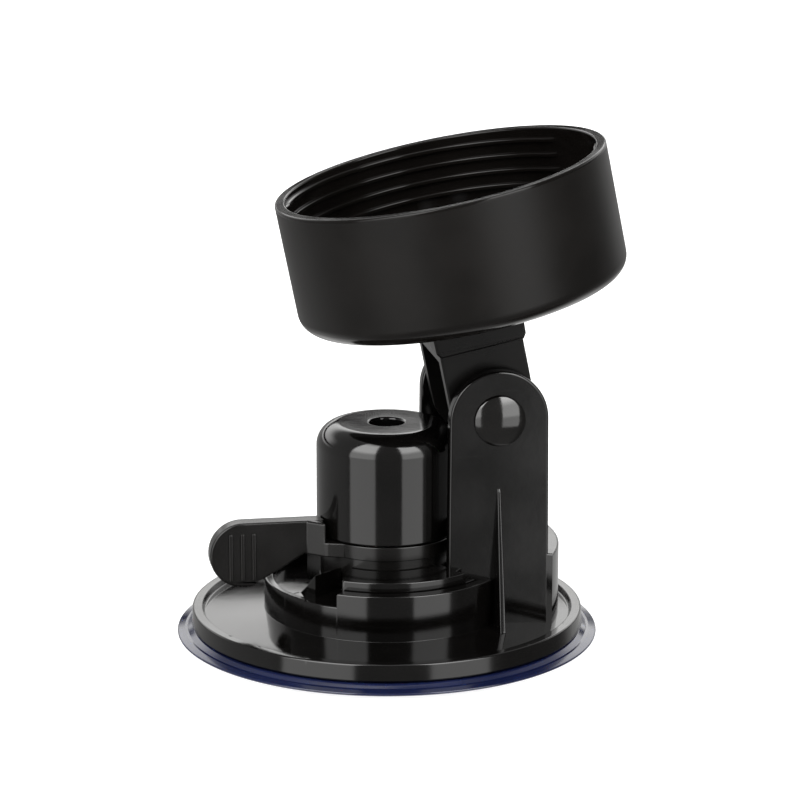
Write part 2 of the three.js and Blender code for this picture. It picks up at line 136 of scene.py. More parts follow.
# ---- solids -----------------------------------------------------------------------------------
def solid(verts, faces):
    """A closed mesh object, in metres, with its faces turned outwards."""
    mesh = bpy.data.meshes.new("solid")
    bm = bmesh.new()
    made = [bm.verts.new(Vector(v) * MM) for v in verts]
    for f in faces:
        bm.faces.new([made[k] for k in f])
    bmesh.ops.recalc_face_normals(bm, faces=bm.faces)
    bm.to_mesh(mesh)
    bm.free()
    obj = bpy.data.objects.new("solid", mesh)
    bpy.context.scene.collection.objects.link(obj)
    return obj


def lathe(profile, segments=SEGMENTS):
    """A [radius, z] profile turned about Z. It starts and ends on the axis, or it closes on itself."""
    verts, rings = [], []
    turns = [2 * math.pi * k / segments for k in range(segments)]
    spin = [(math.cos(t), math.sin(t)) for t in turns]
    for r, z in profile:
        start = len(verts)
        verts += [(0, 0, z)] if r < 1e-9 else [(r * c, r * s, z) for c, s in spin]
        rings.append(list(range(start, len(verts))))
    faces = []
    if profile[0][0] > 1e-9:
        rings.append(rings[0])
    for low, high in zip(rings, rings[1:]):
        for k in range(segments):
            j = (k + 1) % segments
            if len(low) == 1:
                faces.append((low[0], high[j], high[k]))
            elif len(high) == 1:
                faces.append((low[k], low[j], high[0]))
            else:
                faces.append((low[k], low[j], high[j], high[k]))
    return solid(verts, faces)


PLACE = {
    "x": lambda a, b, c: (c, a, b),
    "y": lambda a, b, c: (a, c, b),
    "z": lambda a, b, c: (a, b, c),
}


def slab(outline, start, end, edge=0.4, along="z", steps=3):
    """An outline carried from start to end, with its two end edges rounded. Along z it is an [x, y]
    outline, along y an [x, z] outline, along x a [y, z] outline."""
    outline = anticlockwise(outline)
    layers = []
    for k in range(steps + 1):
        t = rad(90 * k / steps)
        layers.append((edge * (1 - math.sin(t)), start + edge * (1 - math.cos(t))))
    layers += [(d, start + end - c) for d, c in reversed(layers)]
    verts = [PLACE[along](p[0], p[1], c) for d, c in layers for p in inset(outline, d)]
    n = len(outline)
    faces = [tuple(range(n)), tuple(range(len(verts) - n, len(verts)))]
    for row in range(len(layers) - 1):
        for k in range(n):
            j = (k + 1) % n
            faces.append((row * n + k, row * n + j, row * n + n + j, row * n + n + k))
    return solid(verts, faces)


def block(x, y, z, edge=0.3, corner=0.5, along="z"):
    """A box with rounded edges, from ranges in x, y and z."""
    a, b, c = {"z": (x, y, z), "y": (x, z, y), "x": (y, z, x)}[along]
    corners = [(a[0], b[0]), (a[1], b[0]), (a[1], b[1]), (a[0], b[1])]
    return slab(fillet([(p, q, corner) for p, q in corners]), c[0], c[1], edge, along)


def ring(inner, outer, low, high, edge=0.0, segments=SEGMENTS):
    """A round ring about Z, or a rod where inner is 0."""
    corners = [(inner, low), (outer, low), (outer, high), (inner, high)]
    return lathe(fillet([(r, z, edge) for r, z in corners]), segments)


def loops(sections, closed=False):
    """A skin through sections of equal length, capped at its two ends unless it closes on itself."""
    n = len(sections[0])
    verts = [p for s in sections for p in s]
    rows = len(sections)
    faces = [] if closed else [tuple(range(n)), tuple(range((rows - 1) * n, rows * n))]
    for row in range(rows if closed else rows - 1):
        a, b = row * n, (row + 1) % rows * n
        faces += [(a + k, a + (k + 1) % n, b + (k + 1) % n, b + k) for k in range(n)]
    return solid(verts, faces)


def moved(obj, matrix):
    obj.data.transform(matrix)
    return obj


def shifted(obj, x=0.0, y=0.0, z=0.0):
    return moved(obj, Matrix.Translation(Vector((x, y, z)) * MM))


def along_y(obj, x=PIVOT[0], z=PIVOT[2]):
    """A solid turned about Z is laid along Y: its z becomes y."""
    return shifted(moved(obj, Matrix.Rotation(rad(-90), 4, "X")), x, 0, z)


def joined(objs):
    """Solids that don't touch, as one object."""
    bm = bmesh.new()
    for o in objs:
        bm.from_mesh(o.data)
    bm.to_mesh(objs[0].data)
    bm.free()
    for o in objs[1:]:
        bpy.data.objects.remove(o)
    return objs[0]


def boolean(body, operation, *others):
    """The body with the others added, cut away or kept in common."""
    for other in others:
        m = body.modifiers.new("op", "BOOLEAN")
        m.operation, m.solver, m.object = operation, "MANIFOLD", other
        bpy.context.view_layer.update()
        graph = bpy.context.evaluated_depsgraph_get()
        mesh = bpy.data.meshes.new_from_object(body.evaluated_get(graph))
        body.modifiers.clear()
        body.data = mesh
        bpy.data.objects.remove(other)
    return body


def union(body, *others):
    return boolean(body, "UNION", *others)


def cut(body, *others):
    return boolean(body, "DIFFERENCE", *others)


# ---- materials --------------------------------------------------------------------------------
class Nodes:
    """A few lines of node-tree making: each call adds a node and returns its first output."""

    def __init__(self, tree):
        self.tree = tree

    def add(self, kind, inputs=None, out=0, **settings):
        node = self.tree.nodes.new(kind)
        for key, value in settings.items():
            setattr(node, key, value)
        for key, value in (inputs or {}).items():
            if isinstance(value, bpy.types.NodeSocket):
                self.tree.links.new(value, node.inputs[key])
            else:
                node.inputs[key].default_value = value
        return node.outputs[out]

    def math(self, operation, a, b=0.0, c=0.0):
        return self.add("ShaderNodeMath", {0: a, 1: b, 2: c}, operation=operation)

    def noise(self, where, scale, detail=3.0, rough=0.5):
        inputs = {"Vector": where, "Scale": scale, "Detail": detail, "Roughness": rough}
        return self.add("ShaderNodeTexNoise", inputs)

    def ramp(self, value, low, high, to_low=0.0, to_high=1.0):
        return self.add(
            "ShaderNodeMapRange",
            {"Value": value, "From Min": low, "From Max": high, "To Min": to_low, "To Max": to_high},
            interpolation_type="SMOOTHSTEP",
        )

    def mix(self, share, a, b):
        node = self.tree.nodes.new("ShaderNodeMix")
        node.data_type = "RGBA"
        for key, value in ((0, share), (6, a), (7, b)):
            if isinstance(value, bpy.types.NodeSocket):
                self.tree.links.new(value, node.inputs[key])
            else:
                node.inputs[key].default_value = value
        return node.outputs[2]

    def stretch(self, where, scale, turn=(0, 0, 0), shift=(0, 0, 0)):
        inputs = {"Vector": where, "Scale": scale, "Rotation": turn, "Location": shift}
        return self.add("ShaderNodeMapping", inputs)

    def split(self, where):
        """The x, y and z of a vector."""
        node = self.tree.nodes.new("ShaderNodeSeparateXYZ")
        self.tree.links.new(where, node.inputs[0])
        return node.outputs

    def radius(self, x, y):
        return self.math("SQRT", self.math("MULTIPLY_ADD", x, x, self.math("MULTIPLY", y, y)))


def material(name, **sockets):
    """A Principled material with its constants set on the shader's own sockets."""
    mat = bpy.data.materials.new(name)
    mat.use_nodes = True
    shader = mat.node_tree.nodes["Principled BSDF"]
    for key, value in sockets.items():
        shader.inputs[key.replace("_", " ")].default_value = value
    nodes = Nodes(mat.node_tree)
    where = nodes.add("ShaderNodeTexCoord", out=3)
    return mat, shader, nodes, where


def finish(nodes, shader, colour, rough, height, strength, distance):
    """Links the colour, the roughness and a bump from a height field to the shader."""
    bump = nodes.add("ShaderNodeBump", {"Height": height, "Strength": strength, "Distance": distance})
    links = nodes.tree.links
    links.new(colour, shader.inputs["Base Color"])
    links.new(rough, shader.inputs["Roughness"])
    links.new(bump, shader.inputs["Normal"])


def moulded(name, dark, light, rough, grain, hair=0.03, level=0.5, duller=None):
    """Moulded black plastic: a slow colour drift, orange peel, fine grain, hairline scratches and a
    little dust. duller is a function that gives what each place adds to the roughness."""
    mat, shader, nodes, where = material(name, IOR=1.5, Specular_IOR_Level=level)
    drift = nodes.noise(where, 70.0, 2.0)
    peel = nodes.noise(where, 420.0, 2.0)
    fine = nodes.noise(where, grain, 4.0, 0.6)
    hairs = nodes.noise(nodes.stretch(where, (60.0, 2600.0, 1500.0), (0.3, 0.2, 0.5)), 1.0, 2.0)
    more_hairs = nodes.noise(nodes.stretch(where, (2400.0, 90.0, 1300.0), (0.1, 0.4, 1.1)), 1.0, 2.0)
    scratch = nodes.math("MAXIMUM", nodes.ramp(hairs, 0.68, 0.74), nodes.ramp(more_hairs, 0.69, 0.75))
    specks = nodes.add("ShaderNodeTexVoronoi", {"Vector": where, "Scale": 900.0, "Randomness": 1.0})
    dust = nodes.ramp(specks, 0.0, 0.09, 1.0, 0.0)
    sparse = nodes.math("MULTIPLY", dust, nodes.ramp(nodes.noise(where, 300.0, 2.0), 0.6, 0.7))
    colour = nodes.mix(nodes.ramp(drift, 0.35, 0.65), (*dark, 1), (*light, 1))
    colour = nodes.mix(nodes.math("MULTIPLY", sparse, 0.08), colour, (0.25, 0.25, 0.26, 1))
    dull = nodes.ramp(drift, 0.3, 0.7, rough * 0.85, rough * 1.2)
    if duller:
        dull = nodes.math("ADD", duller(nodes, where), dull)
    dull = nodes.math("MULTIPLY_ADD", scratch, hair, dull)
    dull = nodes.math("MULTIPLY_ADD", sparse, 0.15, dull)
    height = nodes.math("MULTIPLY_ADD", fine, 0.25, peel)
    height = nodes.math("MULTIPLY_ADD", scratch, -0.05, height)
    finish(nodes, shader, colour, dull, height, 0.12, 0.00004)
    return mat


def base_dullness(nodes, where):
    """The ears are a little less polished than the disc and its cam boss."""
    _, y, z = nodes.split(where)
    ear_in = EAR_OUT - EAR_T
    across = nodes.math("ABSOLUTE", y)
    on_ears = nodes.ramp(across, (ear_in - 0.5) * MM, (ear_in + 0.2) * MM, 0.0, 0.02)
    above_boss = nodes.ramp(z, RING1_TOP * MM, (RING2_TOP + 1) * MM)
    return nodes.math("MULTIPLY", on_ears, above_boss)


def cup_dullness(nodes, where):
    """The outside of the cup is grained. Its rim and its inside are polished."""
    in_cup_frame = nodes.stretch(where, (1, 1, 1), (0, TILT_REST, 0), CUP_FRAME.inverted().translation)
    x, y, z = nodes.split(in_cup_frame)
    radius = nodes.radius(nodes.math("SUBTRACT", x, CUP_OFFSET * MM), y)
    outside = nodes.ramp(radius, (CUP_R - 0.5) * MM, (CUP_R - 0.2) * MM)
    below = nodes.ramp(z, (CUP_RIM - 0.4) * MM, (CUP_RIM - 0.9) * MM)
    return nodes.math("MULTIPLY", nodes.math("MULTIPLY", outside, below), 0.26)


def metal(name, colour, rough, turned=True):
    """Plated or coated steel with fine lathe marks and a blotchy plating."""
    mat, shader, nodes, where = material(name, Metallic=1.0)
    fineness = (900.0, 5200.0, 900.0) if turned else (700.0, 700.0, 4800.0)
    marks = nodes.noise(nodes.stretch(where, fineness), 1.0, 3.0)
    blotch = nodes.noise(where, 260.0, 3.0)
    tint = [c * 0.72 for c in colour]
    base = nodes.mix(nodes.ramp(blotch, 0.35, 0.7), (*colour, 1), (*tint, 1))
    level = nodes.ramp(blotch, 0.3, 0.75, rough * 0.8, rough * 1.35)
    height = nodes.math("MULTIPLY_ADD", blotch, 0.4, marks)
    finish(nodes, shader, base, level, height, 0.15, 0.00005)
    return mat


def coated(name):
    """Black coated steel: a dark glossy coat over a faintly uneven head."""
    mat, shader, nodes, where = material(name, IOR=1.65)
    blotch = nodes.noise(where, 320.0, 3.0)
    fine = nodes.noise(where, 3200.0, 3.0)
    share = nodes.ramp(blotch, 0.3, 0.7)
    colour = nodes.mix(share, (0.0012, 0.0010, 0.0008, 1), (0.0024, 0.0021, 0.0018, 1))
    level = nodes.ramp(blotch, 0.3, 0.7, 0.07, 0.12)
    height = nodes.math("MULTIPLY_ADD", fine, 0.3, blotch)
    finish(nodes, shader, colour, level, height, 0.18, 0.00006)
    return mat


def soft_pvc():
    """Clear navy suction-cup PVC: deep blue where it is thick, with a soft glossy skin."""
    soft = {"IOR": 1.52, "Subsurface_Weight": 0.06, "Subsurface_Scale": 0.001}
    mat, shader, nodes, where = material("navy_pvc", **soft)
    flow = nodes.noise(where, 90.0, 3.0)
    fine = nodes.noise(where, 1300.0, 3.0)
    share = nodes.ramp(flow, 0.3, 0.7)
    colour = nodes.mix(share, (0.0040, 0.0062, 0.026, 1), (0.0065, 0.0095, 0.036, 1))
    level = nodes.ramp(flow, 0.3, 0.7, 0.10, 0.17)
    height = nodes.math("MULTIPLY_ADD", fine, 0.2, flow)
    finish(nodes, shader, colour, level, height, 0.15, 0.00008)
    return mat


def natural_acetal():
    """Milky acetal with flow marks."""
    milky = {"IOR": 1.48, "Subsurface_Weight": 0.3, "Subsurface_Scale": 0.001}
    mat, shader, nodes, where = material("milky_acetal", **milky)
    flow = nodes.noise(where, 140.0, 3.0)
    colour = nodes.mix(nodes.ramp(flow, 0.3, 0.7), (0.72, 0.70, 0.64, 1), (0.80, 0.79, 0.74, 1))
    level = nodes.ramp(flow, 0.3, 0.7, 0.38, 0.48)
    finish(nodes, shader, colour, level, nodes.noise(where, 1800.0), 0.12, 0.00005)
    return mat


gloss = moulded(
    "gloss_black", (0.0011, 0.0010, 0.0009), (0.0019, 0.0017, 0.0016), 0.105, 2600.0, duller=base_dullness,
)
gloss_cup = moulded(
    "gloss_black_cup", (0.0030, 0.0026, 0.0023), (0.0042, 0.0036, 0.0032), 0.12, 2600.0,
    level=0.2, duller=cup_dullness,
)
gloss_cap = moulded("gloss_black_cap", (0.0012, 0.0011, 0.0010), (0.0020, 0.0018, 0.0017), 0.10, 2600.0)
satin = moulded(
    "satin_black", (0.0022, 0.0020, 0.0019), (0.0034, 0.0031, 0.0029), 0.30, 3600.0, hair=0.05, level=0.2,
)
lever_black = moulded(
    "lever_black", (0.0026, 0.0024, 0.0022), (0.0040, 0.0037, 0.0035), 0.2, 3200.0, level=0.35,
)
navy = soft_pvc()
acetal = natural_acetal()
ZINC_TINT = (0.58, 0.60, 0.62)
zinc = metal("zinc_plate", ZINC_TINT, 0.28)
zinc_flat = metal("zinc_plate_flat", ZINC_TINT, 0.30, False)
black_steel = coated("black_coat")

body_of_node = {n: b for b, ns in frame["record"]["behaviour"]["bodies"].items() for n in ns}


def piece(node, obj, mat, sharp=32):
    """Puts a finished solid in place of its CAD node: shading, material and body."""
    obj.name = f"{node}_fine"
    obj.data.name = obj.name
    bm = bmesh.new()
    bm.from_mesh(obj.data)
    bmesh.ops.remove_doubles(bm, verts=bm.verts, dist=2e-6)
    bmesh.ops.dissolve_degenerate(bm, edges=bm.edges, dist=1e-6)
    bm.to_mesh(obj.data)
    bm.free()
    obj.data.shade_smooth()
    obj.data.set_sharp_from_angle(angle=rad(sharp))
    obj.data.materials.clear()
    obj.data.materials.append(mat)
    weighted = obj.modifiers.new("normals", "WEIGHTED_NORMAL")
    weighted.keep_sharp = True
    weighted.weight = 90
    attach(obj, body_of_node[node])
    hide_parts(node)
    return obj


# ---- suction cup ------------------------------------------------------------------------------
def suction_cup():
    """The tinted cup with its thin flange, and the boss whose pocket holds the flange of the stem."""
    edge_z, boss_r, boss_top = 1.85, 11.5, 8.4
    neck_r, pocket_r, pocket_z = 3.6, 8.4, (3, 7)
    return lathe(fillet([
        (0, 0.9, 0), (10, 0.9, 1), (34, 0.25, 6), (40.6, 0, 0.8), (SUCTION_R - 0.4, 0.9, 0.6),
        (SUCTION_R, SUCTION_Z, 0.2), (SUCTION_R - 0.05, SUCTION_Z + 0.35, 0.2), (43.4, edge_z, 0.4),
        (42.8, edge_z, 0.4), (41.6, MEMBRANE_Z, 0.8), (boss_r + 0.5, MEMBRANE_Z, 0.5),
        (boss_r, boss_top, 0.4), (neck_r, boss_top, 0.2), (neck_r, pocket_z[1], 0),
        (pocket_r, pocket_z[1], 0.2), (pocket_r, pocket_z[0], 0.2), (0, pocket_z[0], 0),
    ]))


# ---- base housing -----------------------------------------------------------------------------
def ramp_z(deg):
    return RAMP_Z + RAMP_PITCH * (deg - 180)


def rim_z(r):
    """The rim of the cam track rises a little outwards."""
    return RIM_Z + 0.2 * (r - TRACK_R) if r > TRACK_R else RIM_Z


def cam_height(r, deg):
    """The height of the cam boss at a radius and an angle from SEAM_DEG to a turn more."""
    if r >= RING2_R + GROOVE:
        top = RING1_TOP
    elif r >= RING2_R:
        top = RING1_TOP - GROOVE
    else:
        top = RING2_TOP
    start, stop = RAMP_DEG
    if start <= deg <= stop:
        return min(top, ramp_z(deg) if r < TRACK_R else rim_z(r))
    if stop < deg < PEAK_DEG:
        t = (deg - stop) / (PEAK_DEG - stop)
        hill = ramp_z(deg) + (RING2_TOP - ramp_z(PEAK_DEG)) * t ** 1.3
        return min(top, hill if r < TRACK_INNER_R else rim_z(r))
    if PEAK_DEG <= deg <= NOTCH_END_DEG:
        return min(top, RIM_Z)
    back = deg - BACK_TURN_DEG
    back = back - 360 if back > SEAM_DEG + 360 else back
    if deg >= STEP_DEG[0] and r < RING2_R + GROOVE:
        top = min(top, RING1_TOP)
    if r < BACK_TRACK_R and start <= back <= stop:
        top = min(top, ramp_z(back))
    return top


CAM_RADII = (BACK_TRACK_R, TRACK_INNER_R, RING2_R, RING2_R + GROOVE, TRACK_R)
CAM_ANGLES = (
    SEAM_DEG, *RAMP_DEG, PEAK_DEG, NOTCH_END_DEG, STEP_DEG[0],
    RAMP_DEG[0] + BACK_TURN_DEG + 360, RAMP_DEG[1] + BACK_TURN_DEG,
)
# The radius of the cam's edges, and half the width of its steep sides, in mm and in degrees.
EDGE, SIDE, SIDE_DEG = 0.28, 0.004, 0.012


def around(values, low, high, near, step):
    """Grid lines from low to high: a pair of lines each side of every value, and an even fill."""
    lines = {low, high}
    for v in values:
        lines |= {v + s * d for s in (-1, 1) for d in near if low < v + s * d < high}
    count = int((high - low) / step)
    fill = [low + (high - low) * k / count for k in range(1, count)]
    lines |= {f for f in fill if min(abs(f - v) for v in [*values, low, high]) > max(near) * 1.2}
    return sorted(lines)


def after_seam(deg):
    """The same angle, from SEAM_DEG to a turn more."""
    if deg > SEAM_DEG + 360:
        return deg - 360
    return deg + 360 if deg < SEAM_DEG else deg


def eased(r, deg):
    """cam_height with its outward edges rounded over EDGE."""
    top = cam_height(r, deg)
    loss = 0.0
    sides = [(abs(r - b), cam_height(b + math.copysign(2 * SIDE, b - r), deg)) for b in CAM_RADII]
    sides += [(r - WELL_R, 0.0), (RING1_R - r, 0.0)]
    for a in CAM_ANGLES:
        over = after_seam(a + math.copysign(math.degrees(2 * SIDE / r), a - deg))
        away = abs((deg - a + 180) % 360 - 180)
        sides.append((rad(away) * r, cam_height(r, over)))
    for gap, low in sides:
        w = min(EDGE, top - low)
        if w > 0.01 and gap < w:
            loss = math.hypot(loss, w - math.sqrt(max(0.0, w * w - (w - gap) ** 2)))
    return top - min(loss, EDGE)


def cam_disc():
    """The base disc and its cam boss: one profile whose heights follow the cam as it goes round."""
    steps = (0.06, 0.14, EDGE)
    radii = around(CAM_RADII, WELL_R, RING1_R, (SIDE, *steps), 0.9)
    radii = sorted({*radii, *(WELL_R + d for d in steps), *(RING1_R - d for d in steps)})
    first, last = SEAM_DEG + SIDE_DEG, SEAM_DEG + 360 - SIDE_DEG
    angles = around(CAM_ANGLES, first, last, (SIDE_DEG, 0.2, 0.45, 0.85), 1.5)
    outer = fillet([
        (CHIMNEY_R, DISC_Z, 0), (DISC_R, DISC_Z, 0.35), (DISC_R - 0.3, LIP_TOP, 0.4),
        (LIP_INNER_R, LIP_TOP, 0.25), (LIP_INNER_R - 0.3, FLOOR_OUTER_Z, 0.4),
        (RING1_R, FLOOR_INNER_Z, 0.08), (RING1_R, RING1_TOP + 1, 0), (CHIMNEY_R, RING1_TOP + 1, 0),
    ], 5)[:-2]
    hole_r = 2
    inner = [
        (WELL_R, WELL_Z), (GUIDE_R, WELL_Z), (GUIDE_R, GUIDE_TOP), (hole_r, GUIDE_TOP),
        (hole_r, CHIMNEY_TOP), (CHIMNEY_R, CHIMNEY_TOP),
    ]
    sections = []
    for deg in angles:
        c, s = polar(1, deg)
        profile = outer + [(r, eased(r, deg)) for r in reversed(radii)] + inner
        sections.append([(r * c, r * s, z) for r, z in profile])
    wedge = slab([
        polar(WELL_R + 0.15, NOTCH_INNER_DEG), polar(RING2_R, NOTCH_END_DEG - 0.3),
        polar(RING2_R - 0.5, NOTCH_END_DEG + 1), polar(WELL_R + 0.15, NOTCH_END_DEG + 1),
    ], RIM_Z - 1, RING2_TOP, 0)
    half = SQUARE + GAP
    guide_hole = block((-half, half), (-half, half), (CHIMNEY_TOP - 0.8, GUIDE_TOP + 1), 0, 0.3)
    return cut(union(loops(sections, closed=True), wedge), guide_hole)


def ear(side):
    x, z = PIVOT[0], PIVOT[2]
    half, foot = EAR_R + EAR_DRAFT, FLOOR_OUTER_Z - 1
    outline = [(x - half, foot), (x + half, foot)] + arc(x, z, EAR_R, 0, 180, 64)
    y = sorted((side * EAR_OUT, side * (EAR_OUT - EAR_T)))
    return slab(outline, y[0], y[1], 0.5, "y", 5)


def rib(side):
    """The rib on the outside of an ear. It narrows upwards, and its outer edges are rounded.
    Each row is a height, how far the rib stands out there, and half its thickness."""
    rows = (
        (4.6, 6.7, 0.66), (6.0, 6.6, 0.65), (6.3, 6.45, 0.65),
        (34.4, 0.45, 0.42), (35.1, 0.3, 0.4), (35.7, -0.2, 0.38),
    )
    round_r, sections = 0.3, []
    for z, reach, half in rows:
        x = PIVOT[0] - 0.35 + 0.3 * (z - rows[0][0]) / 31
        end = EAR_OUT + reach - round_r
        outline = [(x - half - 0.15, EAR_OUT - 1), (x + half + 0.15, EAR_OUT - 1)]
        outline += arc(x + half - round_r, end, round_r, 0, 90, 4)
        outline += arc(x - half + round_r, end, round_r, 90, 180, 4)
        sections.append([(px, side * py, z) for px, py in outline])
    return loops(sections)


def arc_wall():
    half = WALL_HALF_DEG
    outline = arc(0, 0, WALL_R, -half, half, 48) + arc(0, 0, WALL_R - WALL_T, half, -half, 48)
    return slab(outline, FLOOR_OUTER_Z - 0.8, WALL_TOP, 0.45, "z", 4)


def base_housing():
    body = union(cam_disc(), ear(-1), ear(1), arc_wall(), rib(-1), rib(1))
    return cut(body, along_y(ring(0, BOLT_R + GAP, -30, 30, segments=48)))


# ---- lift -------------------------------------------------------------------------------------
def tower_cap():
    """The hollow cap: a hole on top for the screw head, and a tube inside that sits on the stem."""
    inner, ceiling = CAP_R - CAP_WALL, CAP_TOP - 2.4
    head_r, seat_z, screw_r = 3.7, HEAD_SEAT_Z, 2.2
    tube_r, tube_z = (5, 6.8), (25.6, 38.8)
    crown = arc(CAP_R - CAP_FILLET, CAP_TOP - CAP_FILLET, CAP_FILLET, 0, 90, 20)
    rest = fillet([
        (8, CAP_TOP, 0), (head_r, CAP_TOP, 0.5), (head_r, seat_z, 0.2), (screw_r, seat_z, 0),
        (screw_r, tube_z[1], 0), (tube_r[0], tube_z[1], 0), (tube_r[0], tube_z[0], 0.2),
        (tube_r[1], tube_z[0], 0.2), (tube_r[1], ceiling, 0), (inner - 2.2, ceiling, 0),
        (inner, ceiling - 2.2, 0), (inner, CAP_BOTTOM, 0.2), (CAP_R, CAP_BOTTOM, 0.35), (CAP_R, 34, 0),
    ])
    return lathe(crown + rest[1:-1], 256)


def cross(size, depth, top, width=0.16):
    """The cross recess of a screw, with tapering wings."""
    w, half, tip = size * width, size / 2, size * 0.3
    wing = [
        (-half, top + 1), (half, top + 1), (half, top), (tip, top - depth), (-tip, top - depth),
        (-half, top),
    ]
    return union(slab(wing, -w, w, 0, "y"), slab(wing, -w, w, 0, "x"))


def pan_screw(shank, head, height, length, recess):
    """A pan-head screw under z = 0, with a cross recess. Its thread is a row of grooves."""
    pitch = 0.7
    profile = [(0, -length), (shank * 0.4, -length), (shank * 0.85, -length + 1)]
    for k in range(int((length - 1.4) / pitch)):
        z = -length + 1 + pitch * k
        profile += [(shank, z + 0.2), (shank, z + 0.28), (shank * 0.82, z + 0.5)]
    profile += [(shank, 0)]
    crown = fillet([
        (shank, 0, 0), (head, 0, 0.15), (head, height * 0.5, 0.5), (head * 0.6, height, 1.2),
        (0, height, 0),
    ], 6)
    return cut(lathe(profile + crown[1:], 64), cross(recess, height * 0.6, height))


def stem_post():
    """A flange that the suction cup holds, a neck, a square bar and a round top, bored for the screw."""
    bore_r, flange_r, neck_r, top_r, top_z = 1.9, 8, 3.2, 4.6, 38.5
    post = lathe(fillet([
        (bore_r, 6.5, 0), (flange_r, 5.3, 0.2), (flange_r, 6.7, 0.2), (neck_r, 6.7, 0.2),
        (neck_r, 11.2, 0), (bore_r, 11.2, 0),
    ]), 96)
    bar = block((-SQUARE, SQUARE), (-SQUARE, SQUARE), (10.7, 24), 0.3, 0.3)
    top = lathe(fillet([(0, 23, 0), (top_r, 23, 0.2), (top_r, top_z, 0.3), (0, top_z, 0)]), 96)
    return cut(union(post, bar, top), ring(0, bore_r, 5, 40, segments=48))


# ---- lever ------------------------------------------------------------------------------------
def cam_lug(r_out, turn):
    """A lug that rides on the cam ramp: its foot has the ramp's slope."""
    sections, steps, top = [], 12, ROTOR_Z[0] + 1
    for k in range(steps + 1):
        deg = LUG_DEG[0] + (LUG_DEG[1] - LUG_DEG[0]) * k / steps
        c, s = polar(1, deg + turn)
        low = ramp_z(deg) + GAP
        skirt = max(low, WELL_Z + 2.4)
        profile = [
            (SKIRT_R - 1.5, skirt), (WELL_R + 0.15, skirt), (WELL_R + 0.15, low), (r_out - 0.15, low),
            (r_out, low + 0.15), (r_out, top - 0.2), (r_out - 0.2, top), (SKIRT_R - 1.5, top),
        ]
        sections.append([(r * c, r * s, z) for r, z in profile])
    return loops(sections)


def lever_arm():
    """The arm with its round paddle, which flares out to meet the ring round the tower."""
    pad_x, pad_z, pad_r = -31.8, 20.4, 7.0
    front, back, step_x = -5.7, -1.5, -14.6
    notch = (pad_x + 4.3, pad_z - pad_r + 1.5)
    side = [notch, (-18.6, ROTOR_Z[0]), (step_x, ROTOR_Z[0]), (step_x, LEVER_TOP)]
    side += arc(pad_x, pad_z, pad_r, 90, 262, 40)
    side += fillet([(pad_x - 1, pad_z - pad_r, 0), (pad_x + 2, pad_z - pad_r, 0.8), (*notch, 0.8)])[1:-1]
    flare_start = [(-21.5, -5.1, 0), (-18.2, front - 0.02, 0.7)]
    low = fillet([
        *flare_start, (step_x, -8.7, 2.5), (-10.6, -10.05, 0.6), (-9, -8, 0.4), (-9, back, 0.4),
        (-21.5, back, 0),
    ])
    high = fillet([*flare_start, (step_x, -8.7, 0.3), (step_x, back - 0.2, 0.3), (-21.5, back - 0.2, 0)])
    grips = [
        block((x - 0.45, x + 0.45), (front - 0.5, -4.6), (14.8, 25.2), 0.3, 0.28)
        for x in (-34.4, -31.9, -29.5)
    ]
    seam = fillet([
        (-38.84, -5.25, 0.5), (-33, front - 0.06, 0), (-33, back + 0.06, 0), (-38.84, -1.95, 0.5),
    ])
    return union(
        slab(side, front, back, 0.55, "y", 5),
        slab(low, ROTOR_Z[0], ROTOR_Z[1], 0.3),
        slab(high, ROTOR_Z[0], LEVER_TOP - 0.02, 0.55, "z", 5),
        *grips,
        slab(seam, 20.32, 20.5, 0.04),
    )


def lever_rotor():
    """The ring round the stem with its skirt, the arm, and the two lugs that ride on the cam ramps."""
    skirt_z, skirt_r, bore_r, ring_z = WELL_Z + 2.4, SKIRT_R - 2.6, 6.2, 20.9
    core = lathe(fillet([
        (bore_r, ring_z, 0.1), (skirt_r, ring_z, 0), (skirt_r, skirt_z, 0.2), (SKIRT_R, skirt_z, 0.3),
        (SKIRT_R, ROTOR_Z[0], 0), (ROTOR_R, ROTOR_Z[0], 0.3), (ROTOR_R, ROTOR_Z[1], 0.3),
        (bore_r, ROTOR_Z[1], 0.1),
    ]), 256)
    cap_room = ring(0, CAP_R + GAP + 0.1, ROTOR_Z[1], 50, segments=256)
    heart = ring(0, SKIRT_R - 1, 5, 60, segments=128)
    arm = cut(lever_arm(), cap_room, heart)
    return union(core, arm, cam_lug(WELL_R + 2.9, 0), cam_lug(WELL_R + 2.4, BACK_TURN_DEG))


# ---- pivot hardware ---------------------------------------------------------------------------
def pivot_bolt():
    """The bolt through both ears: a domed head at the near ear, and a grooved end for the nut."""
    seat, steps = -EAR_OUT - GAP, 24
    head_r, dome_r, ball, rim = 5.4, 5.15, 12.0, 0.3
    top = math.asin(dome_r / ball)
    dome = []
    for k in range(steps):
        t = top * k / steps
        dome.append((ball * math.sin(t), seat - rim - ball * (math.cos(t) - math.cos(top))))
    dome += [(dome_r, seat - rim), (head_r - 0.08, seat - 0.19), (head_r, seat - 0.08)]
    shank, end, pitch = [(head_r, seat), (BOLT_R, seat)], 26.1, 0.5
    for k in range(17):
        y = EAR_OUT + pitch * k
        shank += [(BOLT_R, y), (BOLT_R, y + 0.08), (BOLT_R - 0.25, y + 0.3)]
    shank += [(BOLT_R, end - 0.5), (BOLT_R - 0.5, end), (0, end)]
    return along_y(lathe(dome + shank, 128))


def washer(outer, y0, y1, edge=0.15):
    """A washer on the pivot bolt."""
    return along_y(ring(BOLT_R + GAP, outer, y0, y1, edge, 96))


